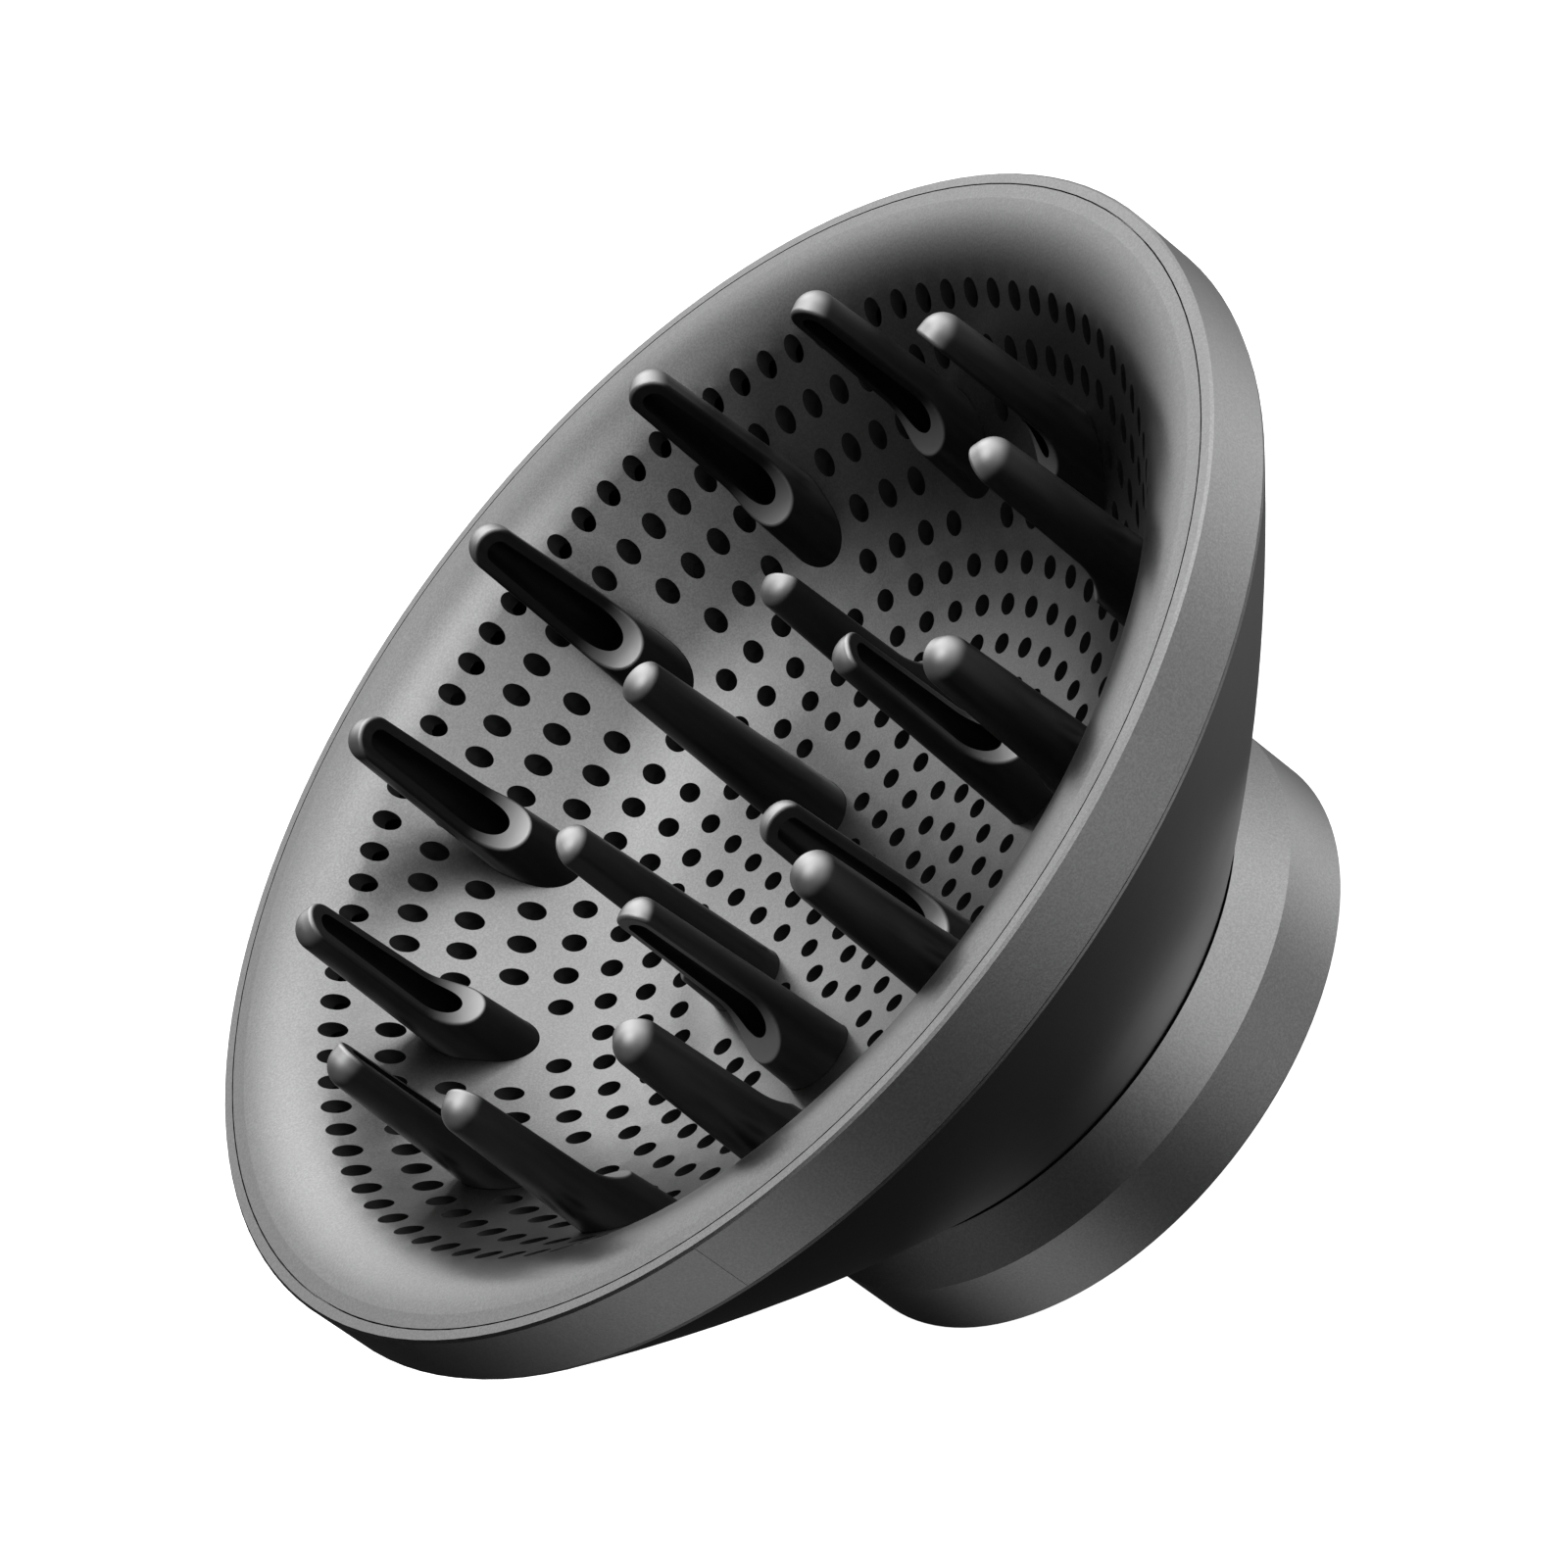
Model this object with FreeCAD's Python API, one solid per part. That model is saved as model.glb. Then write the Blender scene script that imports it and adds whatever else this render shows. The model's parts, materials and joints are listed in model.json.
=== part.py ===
"""Hair-dryer diffuser: a perforated bowl with hollow prongs on a turning magnetic collar.

Millimetres, +Z up. The origin is the centre of the collar's rear face, +Z points to the bowl's
open side, and prong outer_prong_01 stands on +X. Each sub-part is one STEP file in parts/.
"""
import FreeCAD, Part
import math
import os

from FreeCAD import Vector

# ---- Rim and bowl ---------------------------------------------------------------------------
RIM_Z = 64.4            # height of the rim's front face
RIM_R = 75.0            # outside radius of the rim ring
RIM_RING_REAR_Z = 56.0  # rear edge of the rim ring
RIM_BEVEL = 0.3
PARTING_R = 73.35       # outer edge of the grille; the parting groove starts here
PARTING_WIDTH = 0.18
PARTING_DEPTH = 0.8
SEAM_ANGLE = -149.4     # moulding seam across the rim ring, degrees from +X
SEAM_WIDTH = 0.12
SEAM_DEPTH = 0.05

FLOOR_Z = 31.4          # bowl floor at the axis
FLOOR_ROUND = 140.0     # radius of the shallow floor
KNEE_ROUND = 35.0       # radius between floor and wall
WALL_ANGLE = 48.2       # wall slope above horizontal, degrees
LIP_ROUND = 12.6        # radius between wall and rim face
LIP_FLAT_R = 71.6       # the lip's round runs out into the flat rim face here

GRILLE_T = 1.4          # painted grille skin
BACKING_T = 1.8         # black backing bowl under the skin
FIT = 0.05              # gap between curved faces that nest in one another
SKIRT_BOTTOM_Z = 60.8   # lower edge of the grille's skirt

# ---- Perforation ----------------------------------------------------------------------------
HOLE_D = 2.4
BACKING_HOLE_D = 2.7
RING_PITCH = 4.42       # each ring of holes is this much wider in radius than the last
HOLES_PER_RING = [6, 12, 18, 24, 30, 36, 42, 48, 52, 60, 66, 78, 84, 90]
RING_TURNS = {9: 2.5, 12: 0.3, 13: -0.3, 14: 0.2}  # degrees, where a ring is turned from +X
HOLE_TO_PRONG = 0.9     # least land between a hole's edge and a prong's outline

# ---- Prongs ---------------------------------------------------------------------------------
# A prong's section is a stadium: a back circle on the prong's own axis, and a front circle
# REACH further towards its slot. Both grow from the tip to the root.
OUTER_PRONGS = 12
OUTER_PRONG_R = 51.3
OUTER_PRONG_TOP_Z = 74.85
OUTER_SCOOP_OFFSET = 1.4  # flat cut face, from the prong's axis towards the slot side
OUTER_DOME = 1.0         # height of the tip's dome over its radius
OUTER_FRONT_WALL = 1.8   # thicker wall on the slot side, which the scoop shows as its lower lip
INNER_PRONGS = 6
INNER_PRONG_R = 21.5
INNER_PRONG_TOP_Z = 63.85
INNER_SCOOP_OFFSET = 0.85
INNER_DOME = 0.72
INNER_FRONT_WALL = 2.1
PRONG_TIP_R = 2.72
PRONG_TIP_REACH = 1.2
PRONG_ROOT_DEPTH = 33.0  # below the tip, where the root sizes hold
PRONG_ROOT_R = 4.05
PRONG_ROOT_REACH = 1.35
PRONG_WALL = 1.1
PRONG_TIP_WALL = 1.45
SCOOP_FLAT_DEPTH = 17.45  # below the tip, where the cut starts to curve out
SCOOP_ROUND = 8.0
SCOOP_EDGE = 0.45        # rounding between a prong's outside and its flat cut face
FOOT_T = 0.9             # flange under the grille
FOOT_MARGIN = 0.6
FOOT_PLAY = 0.1

# ---- Backing bowl fasteners -----------------------------------------------------------------
BOSS_COUNT = 6
BOSS_R = 66.0
BOSS_D = 5.0
BOSS_BOTTOM_Z = 55.6
BOSS_START_ANGLE = 15.0
FLANGE_T = 1.6
FLANGE_OUTER_R = 69.3
BOSS_TOP_Z = 63.9       # inside the lip, above the underside of the skin
FLANGE_INNER_R = 60.0
PILOT_D = 1.7
PILOT_DEPTH = 4.5
SCREW_LENGTH = 5.0
SCREW_HEAD_D = 3.6
SCREW_HEAD_T = 1.2
SCREW_HOLE_D = 2.2
DRILL_OVERRUN = 1.0     # how far a cutting tool starts outside its part

# ---- Rear shell -----------------------------------------------------------------------------
SHELL_TOP_Z = 55.95
SHELL_TOP_R = 74.95
SHELL_NECK_Z = 15.1
SHELL_NECK_R = 35.2
SHELL_BULGE = 1.2       # how far the cone bows out from its chord
SHELL_T = 2.0
TONGUE_R = 73.4         # the tongue stands up inside the rim ring
TONGUE_INNER_R = 71.2
TONGUE_TOP_Z = 60.0
BEAD_Z = 58.1           # snap bead of the rim ring in the tongue's groove
BEAD_HALF = 0.5
BEAD_DEPTH = 0.4

# ---- Neck and turning collar ----------------------------------------------------------------
THROAT_R = 29.6
SPIGOT_R = 33.6
SPIGOT_END_Z = 12.0
NECK_SEAT_Z = 16.5      # flat inside the neck that carries the deflector
RUNNING_CLEARANCE = 0.1
COLLAR_R = 38.3
COLLAR_SHOULDER_Z = 9.0
COLLAR_TOP_R = 35.4
COLLAR_TOP_Z = 14.9
COLLAR_LIP_Z = 12.45    # underside of the collar's inward lip
COLLAR_WALL = 1.3
COLLAR_EDGE = 0.4
SOCKET_R = 35.6         # bore that takes the dryer's nose
SOCKET_DEPTH = 5.0
CARRIER_R = 36.3
CARRIER_INNER_R = 31.2
CARRIER_TOP_Z = 8.6
MAGNET_COUNT = 8
MAGNET_D = 4.0
MAGNET_T = 2.5
MAGNET_RING_R = 33.9
MAGNET_PLAY = 0.05
POLE_RING_T = 0.8
GASKET_INNER_R = 31.7
GASKET_WIDTH = 0.9
GASKET_T = 0.8
GASKET_PROUD = 0.1
WASHER_INNER_R = 33.8
WASHER_OUTER_R = 35.1
WASHER_T = 0.4
RETAINER_T = 1.8
RETAINER_R = 35.1
RETAINER_SCREWS = 4
RETAINER_SCREW_R = 31.7
RETAINER_SCREW_ANGLE = 45.0
RETAINER_SCREW_LENGTH = 3.4
RETAINER_PILOT_DEPTH = 2.8
POLE_RING_PLAY = 0.2
SMALL_PILOT_D = 1.3
SMALL_HOLE_D = 1.8
SMALL_HEAD_D = 2.9
SMALL_HEAD_T = 0.8
SMALL_HEAD_PLAY = 0.1

# ---- Air deflector --------------------------------------------------------------------------
DEFLECTOR_R = 15.0
DEFLECTOR_APEX_Z = 18.0
DEFLECTOR_NOSE_R = 4.5  # the blunt middle of the cone
DEFLECTOR_NOSE_RISE = 0.6
DEFLECTOR_RISE = 5.6
DEFLECTOR_T = 1.5
SPIDER_INNER_R = 29.9
SPIDER_OUTER_R = 33.0
SPIDER_T = 1.6
RIB_COUNT = 3
RIB_T = 1.6
RIB_OVERLAP = 2.0       # how far a rib runs into the cone
RIB_FOOT_OVERLAP = 1.0
DEFLECTOR_SCREW_ANGLE = 30.0
DEFLECTOR_SCREW_LENGTH = 4.0
DEFLECTOR_PILOT_DEPTH = 2.6
SPIDER_SCREW_R = (SPIDER_INNER_R + SPIDER_OUTER_R) / 2

CROSS_LENGTH = 0.6      # cross recess of every screw, as shares of its head
CROSS_WIDTH = 0.15
CROSS_DEPTH = 0.5

AXIS = Vector(0, 0, 1)
ORIGIN = Vector(0, 0, 0)
HIGH = 200.0            # beyond the whole part in any direction
TINY = 1e-4


# ---- General helpers ------------------------------------------------------------------------
def at(r, z):
    """A point of a profile in the XZ half-plane."""
    return Vector(r, 0, z)


def polyline(points):
    return [Part.makeLine(a, b) for a, b in zip(points, points[1:])]


def revolve(edges):
    """The solid of revolution of a closed profile."""
    face = Part.Face(Part.Wire(Part.__sortEdges__(edges)))
    return face.revolve(ORIGIN, AXIS, 360)


def turned(points):
    """The solid of revolution of a closed polygon of (r, z) corners."""
    corners = [at(r, z) for r, z in points]
    return revolve(polyline(corners + corners[:1]))


def rod(radius, low, high, x=0.0, y=0.0):
    return Part.makeCylinder(radius, high - low, Vector(x, y, low))


def polar(radius, angle):
    a = math.radians(angle)
    return Vector(radius * math.cos(a), radius * math.sin(a), 0)


def around(count, start=0.0):
    return [start + 360.0 * i / count for i in range(count)]


def rods_on_circle(rod_radius, low, high, circle_radius, angles):
    spots = [polar(circle_radius, a) for a in angles]
    return [rod(rod_radius, low, high, p.x, p.y) for p in spots]


def write(name, shape):
    shape.exportStep(f"parts/{name}.step")
    box = shape.BoundBox
    print(f"{name:20s} solids {len(shape.Solids)} volume {shape.Volume:9.1f} "
          f"z {box.ZMin:6.2f}..{box.ZMax:6.2f} r {max(box.XMax, box.YMax):6.2f} {shape.isValid()}")


# ---- Bowl surface ---------------------------------------------------------------------------
def bowl_circles():
    """Centres of the lip, knee and floor arcs, and the wall's inward normal."""
    a = math.radians(WALL_ANGLE)
    along, normal = at(math.cos(a), math.sin(a)), at(-math.sin(a), math.cos(a))
    lip = at(LIP_FLAT_R, RIM_Z - LIP_ROUND)
    floor = at(0, FLOOR_Z + FLOOR_ROUND)
    foot = lip + normal * (LIP_ROUND + KNEE_ROUND)
    gap = foot - floor
    half = gap.dot(along)
    slide = -half - math.sqrt(half * half - gap.dot(gap) + (FLOOR_ROUND - KNEE_ROUND) ** 2)
    return lip, foot + along * slide, floor, normal


def bowl_edges(depth):
    """The bowl's front surface moved back by depth, from the axis to the end of the lip."""
    lip, knee, floor, normal = bowl_circles()
    lip_r, knee_r, floor_r = LIP_ROUND - depth, KNEE_ROUND + depth, FLOOR_ROUND + depth
    down = (knee - floor).normalize()

    def arc(centre, radius, first, last):
        middle = (first + last).normalize()
        return Part.Arc(centre + first * radius, centre + middle * radius,
                        centre + last * radius).toShape()

    wall = Part.makeLine(knee - normal * knee_r, lip + normal * lip_r)
    return [arc(floor, floor_r, at(0, -1), down), arc(knee, knee_r, down, normal * -1), wall,
            arc(lip, lip_r, normal, at(0, 1))]


def bowl_layer(front, back):
    """The bowl-shaped solid between two depths behind the front surface, out to the lip."""
    outer = at(LIP_FLAT_R, RIM_Z)
    side = [Part.makeLine(outer - AXIS * front, outer - AXIS * back),
            Part.makeLine(at(0, FLOOR_Z - front), at(0, FLOOR_Z - back))]
    return revolve(bowl_edges(front) + bowl_edges(back) + side)


def space_over_bowl(depth):
    """Everything in front of the bowl surface at a depth, as wide as the lip's round."""
    outer = at(LIP_FLAT_R, RIM_Z - depth)
    cap = polyline([outer, at(LIP_FLAT_R, HIGH), at(0, HIGH), at(0, FLOOR_Z - depth)])
    return revolve(bowl_edges(depth) + cap)


def bowl_height(r):
    """Height of the bowl's front surface at a radius inside the lip's round."""
    _, knee, floor, normal = bowl_circles()
    down = (knee - floor).normalize()
    wall_start = knee - normal * KNEE_ROUND
    if r <= (floor + down * FLOOR_ROUND).x:
        return floor.z - math.sqrt(FLOOR_ROUND ** 2 - r * r)
    if r <= wall_start.x:
        return knee.z - math.sqrt(KNEE_ROUND ** 2 - (r - knee.x) ** 2)
    return wall_start.z + (r - wall_start.x) * math.tan(math.radians(WALL_ANGLE))


# ---- Prongs ---------------------------------------------------------------------------------
def prong_section(depth):
    """Circle radius and reach of a prong's stadium section at a depth below its tip."""
    share = (depth - PRONG_TIP_R) / (PRONG_ROOT_DEPTH - PRONG_TIP_R)
    radius = PRONG_TIP_R + (PRONG_ROOT_R - PRONG_TIP_R) * share
    reach = PRONG_TIP_REACH + (PRONG_ROOT_REACH - PRONG_TIP_REACH) * share
    return radius, reach


def stadium(radius, reach, z):
    """Closed wire of two half circles, the back one about the local origin."""
    back_low, back_high = Vector(0, -radius, z), Vector(0, radius, z)
    front_low, front_high = Vector(reach, -radius, z), Vector(reach, radius, z)
    back = Part.Arc(back_high, Vector(-radius, 0, z), back_low).toShape()
    front = Part.Arc(front_low, Vector(reach + radius, 0, z), front_high).toShape()
    return Part.Wire([back, Part.makeLine(back_low, front_low), front,
                      Part.makeLine(front_high, back_high)])


def prong_form(row, grow=0.0, tip_wall=0.0, shorten=0.0):
    """Tapered stadium column with a domed top, its outline moved out by grow.

    Local frame: tip at z = 0, slot side towards +X. The dome is pulled down by tip_wall, and
    the slot side is drawn back by shorten."""
    length = prong_length(row)
    tip_r, tip_reach = prong_section(PRONG_TIP_R)
    root_r, root_reach = prong_section(length)
    tip_r, root_r = tip_r + grow, root_r + grow
    reach, root_reach = tip_reach - shorten, root_reach - shorten
    dome = Part.makeSphere(tip_r).fuse(Part.makeSphere(tip_r, Vector(reach, 0, 0)))
    dome = dome.fuse(Part.makeCylinder(tip_r, reach, ORIGIN, Vector(1, 0, 0)))
    over = Part.makeBox(4 * tip_r + reach, 4 * tip_r, 2 * tip_r, Vector(-2 * tip_r, -2 * tip_r, 0))
    dome = dome.common(over)
    if row["dome"] != 1.0:
        flatten = FreeCAD.Matrix()
        flatten.scale(1, 1, row["dome"])
        dome = dome.transformGeometry(flatten)
    spring_z = -(tip_wall + tip_r * row["dome"])
    dome.translate(Vector(0, 0, spring_z))
    column = Part.makeLoft([stadium(tip_r, reach, spring_z),
                            stadium(root_r, root_reach, -length)], True, True)
    return column.fuse(dome).removeSplitter()


def scoop_cutter(offset):
    """The piece cut from a prong's slot side: flat along the finger, curving out below."""
    flat_end = -SCOOP_FLAT_DEPTH
    start = at(offset, flat_end)
    bottom = at(offset + SCOOP_ROUND, flat_end - SCOOP_ROUND)
    slant = math.radians(45)
    middle = at(offset + SCOOP_ROUND * (1 - math.cos(slant)),
                flat_end - SCOOP_ROUND * math.sin(slant))
    clear_r = bottom.x + SCOOP_ROUND
    edges = [Part.Arc(start, middle, bottom).toShape()]
    edges += polyline([bottom, at(clear_r, bottom.z), at(clear_r, SCOOP_ROUND),
                       at(offset, SCOOP_ROUND), start])
    face = Part.Face(Part.Wire(edges))
    width = 4 * PRONG_ROOT_R
    face.translate(Vector(0, -width / 2, 0))
    return face.extrude(Vector(0, width, 0))


def placed_prong(shape, row, angle):
    """Move a local prong shape to its place on the bowl."""
    moved = shape.copy()
    if not row["faces_out"]:
        moved.rotate(ORIGIN, AXIS, 180)
    moved.translate(Vector(row["radius"], 0, row["top"]))
    moved.rotate(ORIGIN, AXIS, angle)
    return moved


PRONG_SETS = {
    "outer": dict(count=OUTER_PRONGS, radius=OUTER_PRONG_R, top=OUTER_PRONG_TOP_Z,
                  scoop=OUTER_SCOOP_OFFSET, dome=OUTER_DOME, front_wall=OUTER_FRONT_WALL,
                  faces_out=False),
    "inner": dict(count=INNER_PRONGS, radius=INNER_PRONG_R, top=INNER_PRONG_TOP_Z,
                  scoop=INNER_SCOOP_OFFSET, dome=INNER_DOME, front_wall=INNER_FRONT_WALL,
                  faces_out=True),
}


def prong_length(row):
    """Long enough to pass both bowl layers at the prong's lowest corner."""
    inner_edge = row["radius"] - 2 * PRONG_ROOT_R
    return row["top"] - bowl_height(inner_edge) + 3 * (GRILLE_T + BACKING_T)


def scooped_form(row):
    """The outside of a prong with its scoop cut away and the cut's outer edge rounded."""
    form = prong_form(row).cut(scoop_cutter(row["scoop"]))
    flat_end = -SCOOP_FLAT_DEPTH
    cut_edges = [edge for edge in form.Edges
                 if all(abs(v.X - row["scoop"]) < TINY and v.Z > flat_end - TINY
                        for v in edge.Vertexes)]
    rounded = [edge for edge in cut_edges
               if max(v.Z for v in edge.Vertexes) > flat_end + TINY]
    return form.makeFillet(SCOOP_EDGE, rounded)


def make_prong(row, over_foot, foot_layer):
    """One finished prong at angle 0, trimmed to the bowl, with its foot under the grille."""
    column = placed_prong(scooped_form(row), row, 0).common(over_foot)
    foot = placed_prong(prong_form(row, grow=FOOT_MARGIN), row, 0).common(foot_layer)
    hollow = prong_form(row, grow=-PRONG_WALL, tip_wall=PRONG_TIP_WALL,
                        shorten=row["front_wall"] - PRONG_WALL)
    return column.fuse(foot).cut(placed_prong(hollow, row, 0)).removeSplitter()


def prong_cutters(grow):
    """Every prong's outline as a column, for windows through the bowl."""
    columns = []
    for row in PRONG_SETS.values():
        form = prong_form(row, grow=grow)
        columns += [placed_prong(form, row, angle) for angle in around(row["count"])]
    return columns


# ---- Perforation ----------------------------------------------------------------------------
def prong_distance(spot):
    """Distance in plan from a point to the nearest prong outline at the bowl's surface."""
    nearest = HIGH
    radius_here = math.hypot(spot.x, spot.y)
    for row in PRONG_SETS.values():
        outline_r, reach = prong_section(row["top"] - bowl_height(radius_here))
        side = 1 if row["faces_out"] else -1
        for angle in around(row["count"]):
            back = polar(row["radius"], angle)
            front = polar(row["radius"] + side * reach, angle)
            span = front - back
            share = (spot - back).dot(span) / span.dot(span)
            foot = back + span * min(1.0, max(0.0, share))
            nearest = min(nearest, (spot - foot).Length - outline_r)
    return nearest


def hole_spots():
    """Plan positions of all the perforations that clear the prongs."""
    spots = [ORIGIN]
    for ring, count in enumerate(HOLES_PER_RING, start=1):
        for angle in around(count, RING_TURNS.get(ring, 0.0)):
            spot = polar(ring * RING_PITCH, angle)
            if prong_distance(spot) > HOLE_D / 2 + HOLE_TO_PRONG:
                spots.append(spot)
    return spots


def hole_drills(diameter, spots):
    return [rod(diameter / 2, FLOOR_Z - 10, RIM_Z, p.x, p.y) for p in spots]


# ---- Sub-parts of the bowl group ------------------------------------------------------------
def front_grille(spots):
    rim_face = polyline([at(LIP_FLAT_R, RIM_Z), at(PARTING_R, RIM_Z),
                         at(PARTING_R, SKIRT_BOTTOM_Z), at(LIP_FLAT_R, SKIRT_BOTTOM_Z),
                         at(LIP_FLAT_R, RIM_Z - GRILLE_T)])
    centre = [Part.makeLine(at(0, FLOOR_Z - GRILLE_T), at(0, FLOOR_Z))]
    skin = revolve(bowl_edges(0) + rim_face + bowl_edges(GRILLE_T) + centre)
    angles = around(BOSS_COUNT, BOSS_START_ANGLE)
    bosses = rods_on_circle(BOSS_D / 2, BOSS_BOTTOM_Z, BOSS_TOP_Z, BOSS_R, angles)
    mid = GRILLE_T / 2
    under_skin = revolve(bowl_edges(mid) + polyline([at(0, FLOOR_Z - mid), ORIGIN,
                                                     at(LIP_FLAT_R, 0),
                                                     at(LIP_FLAT_R, RIM_Z - mid)]))
    skin = skin.fuse([boss.common(under_skin) for boss in bosses])
    pilots = rods_on_circle(PILOT_D / 2, BOSS_BOTTOM_Z - DRILL_OVERRUN,
                            BOSS_BOTTOM_Z + PILOT_DEPTH, BOSS_R, angles)
    return skin.cut(pilots).cut(prong_cutters(FIT)).cut(hole_drills(HOLE_D, spots))


def backing_bowl(spots):
    front, back = GRILLE_T + FIT, GRILLE_T + BACKING_T
    flange_top = BOSS_BOTTOM_Z - FIT
    bowl = bowl_layer(front, back).common(rod(HIGH, 0, flange_top))
    flange_low = flange_top - FLANGE_T
    flange = turned([(FLANGE_INNER_R, flange_low), (FLANGE_OUTER_R, flange_low),
                     (FLANGE_OUTER_R, flange_top), (FLANGE_INNER_R, flange_top)])
    bowl = bowl.fuse(flange.cut(space_over_bowl(front)))
    angles = around(BOSS_COUNT, BOSS_START_ANGLE)
    bowl = bowl.cut(rods_on_circle(SCREW_HOLE_D / 2, 0, RIM_Z, BOSS_R, angles))
    windows = prong_cutters(-PRONG_WALL / 2)
    pocket_layer = bowl_layer(GRILLE_T - FIT, GRILLE_T + FIT + FOOT_T + FOOT_PLAY)
    pockets = [c.common(pocket_layer) for c in prong_cutters(FOOT_MARGIN + FOOT_PLAY)]
    return bowl.cut(windows + pockets).cut(hole_drills(BACKING_HOLE_D, spots))


def rim_ring():
    inner = PARTING_R + FIT
    bead_in = inner - BEAD_DEPTH
    face_in = PARTING_R + PARTING_WIDTH
    ring = turned([(face_in, RIM_Z), (RIM_R - RIM_BEVEL, RIM_Z), (RIM_R, RIM_Z - RIM_BEVEL),
                   (RIM_R, RIM_RING_REAR_Z + RIM_BEVEL), (RIM_R - RIM_BEVEL, RIM_RING_REAR_Z),
                   (inner + FIT, RIM_RING_REAR_Z), (inner + FIT, BEAD_Z - BEAD_HALF),
                   (bead_in, BEAD_Z - BEAD_HALF / 2), (bead_in, BEAD_Z + BEAD_HALF / 2),
                   (inner + FIT, BEAD_Z + BEAD_HALF), (inner + FIT, SKIRT_BOTTOM_Z),
                   (inner, SKIRT_BOTTOM_Z), (inner, RIM_Z - PARTING_DEPTH),
                   (face_in, RIM_Z - PARTING_DEPTH)])
    seam = Part.makeBox(2 * SEAM_DEPTH, SEAM_WIDTH, 2 * RIM_Z,
                        Vector(RIM_R - SEAM_DEPTH, -SEAM_WIDTH / 2, 0))
    seam.rotate(ORIGIN, AXIS, SEAM_ANGLE)
    return ring.cut(seam)


def rim_seal():
    return turned([(LIP_FLAT_R, TONGUE_TOP_Z), (PARTING_R - FIT, TONGUE_TOP_Z),
                   (PARTING_R - FIT, SKIRT_BOTTOM_Z), (LIP_FLAT_R, SKIRT_BOTTOM_Z)])


def shell_arc():
    """Centre and radius of the cone's slightly bowed outer profile."""
    top, neck = at(SHELL_TOP_R, SHELL_TOP_Z), at(SHELL_NECK_R, SHELL_NECK_Z)
    chord = top - neck
    outward = at(chord.z, -chord.x).normalize()
    half = chord.Length / 2
    radius = (half * half + SHELL_BULGE ** 2) / (2 * SHELL_BULGE)
    return (top + neck) * 0.5 + outward * (SHELL_BULGE - radius), radius


def shell_point(inset, z):
    """Point of the shell's profile at a height, moved in by inset."""
    centre, radius = shell_arc()
    return at(centre.x + math.sqrt((radius - inset) ** 2 - (z - centre.z) ** 2), z)


def shell_curve(inset, low_z, high_z):
    points = [shell_point(inset, z) for z in (low_z, (low_z + high_z) / 2, high_z)]
    return Part.Arc(*points).toShape()


def shell_inner_height(r):
    """Height at which the shell's inner curve reaches a radius."""
    centre, radius = shell_arc()
    return centre.z - math.sqrt((radius - SHELL_T) ** 2 - (r - centre.x) ** 2)


def rear_shell():
    bevel = RIM_BEVEL
    top_edge_z = SHELL_TOP_Z - bevel
    inner_top_z = shell_inner_height(TONGUE_INNER_R)
    outer = [shell_curve(0, SHELL_NECK_Z, top_edge_z)]
    groove_r = TONGUE_R - BEAD_DEPTH - 2 * FIT
    upper = polyline([shell_point(0, top_edge_z), at(SHELL_TOP_R - bevel, SHELL_TOP_Z),
                      at(TONGUE_R, SHELL_TOP_Z), at(TONGUE_R, BEAD_Z - BEAD_HALF - FIT),
                      at(groove_r, BEAD_Z - BEAD_HALF / 2 - FIT),
                      at(groove_r, BEAD_Z + BEAD_HALF / 2 + FIT),
                      at(TONGUE_R, BEAD_Z + BEAD_HALF + FIT), at(TONGUE_R, TONGUE_TOP_Z),
                      at(TONGUE_INNER_R, TONGUE_TOP_Z), at(TONGUE_INNER_R, inner_top_z)])
    inner = [shell_curve(SHELL_T, NECK_SEAT_Z, inner_top_z)]
    neck = polyline([shell_point(SHELL_T, NECK_SEAT_Z), at(THROAT_R, NECK_SEAT_Z),
                     at(THROAT_R, SPIGOT_END_Z), at(SPIGOT_R, SPIGOT_END_Z),
                     at(SPIGOT_R, SHELL_NECK_Z), at(SHELL_NECK_R, SHELL_NECK_Z)])
    shell = revolve(outer + upper + inner + neck)
    retainer_holes = rods_on_circle(SMALL_PILOT_D / 2, SPIGOT_END_Z - DRILL_OVERRUN,
                                    SPIGOT_END_Z + RETAINER_PILOT_DEPTH, RETAINER_SCREW_R,
                                    around(RETAINER_SCREWS, RETAINER_SCREW_ANGLE))
    deflector_holes = rods_on_circle(SMALL_PILOT_D / 2, NECK_SEAT_Z - DEFLECTOR_PILOT_DEPTH,
                                     NECK_SEAT_Z + DRILL_OVERRUN, SPIDER_SCREW_R,
                                     around(RIB_COUNT, DEFLECTOR_SCREW_ANGLE))
    return shell.cut(retainer_holes + deflector_holes)


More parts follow.
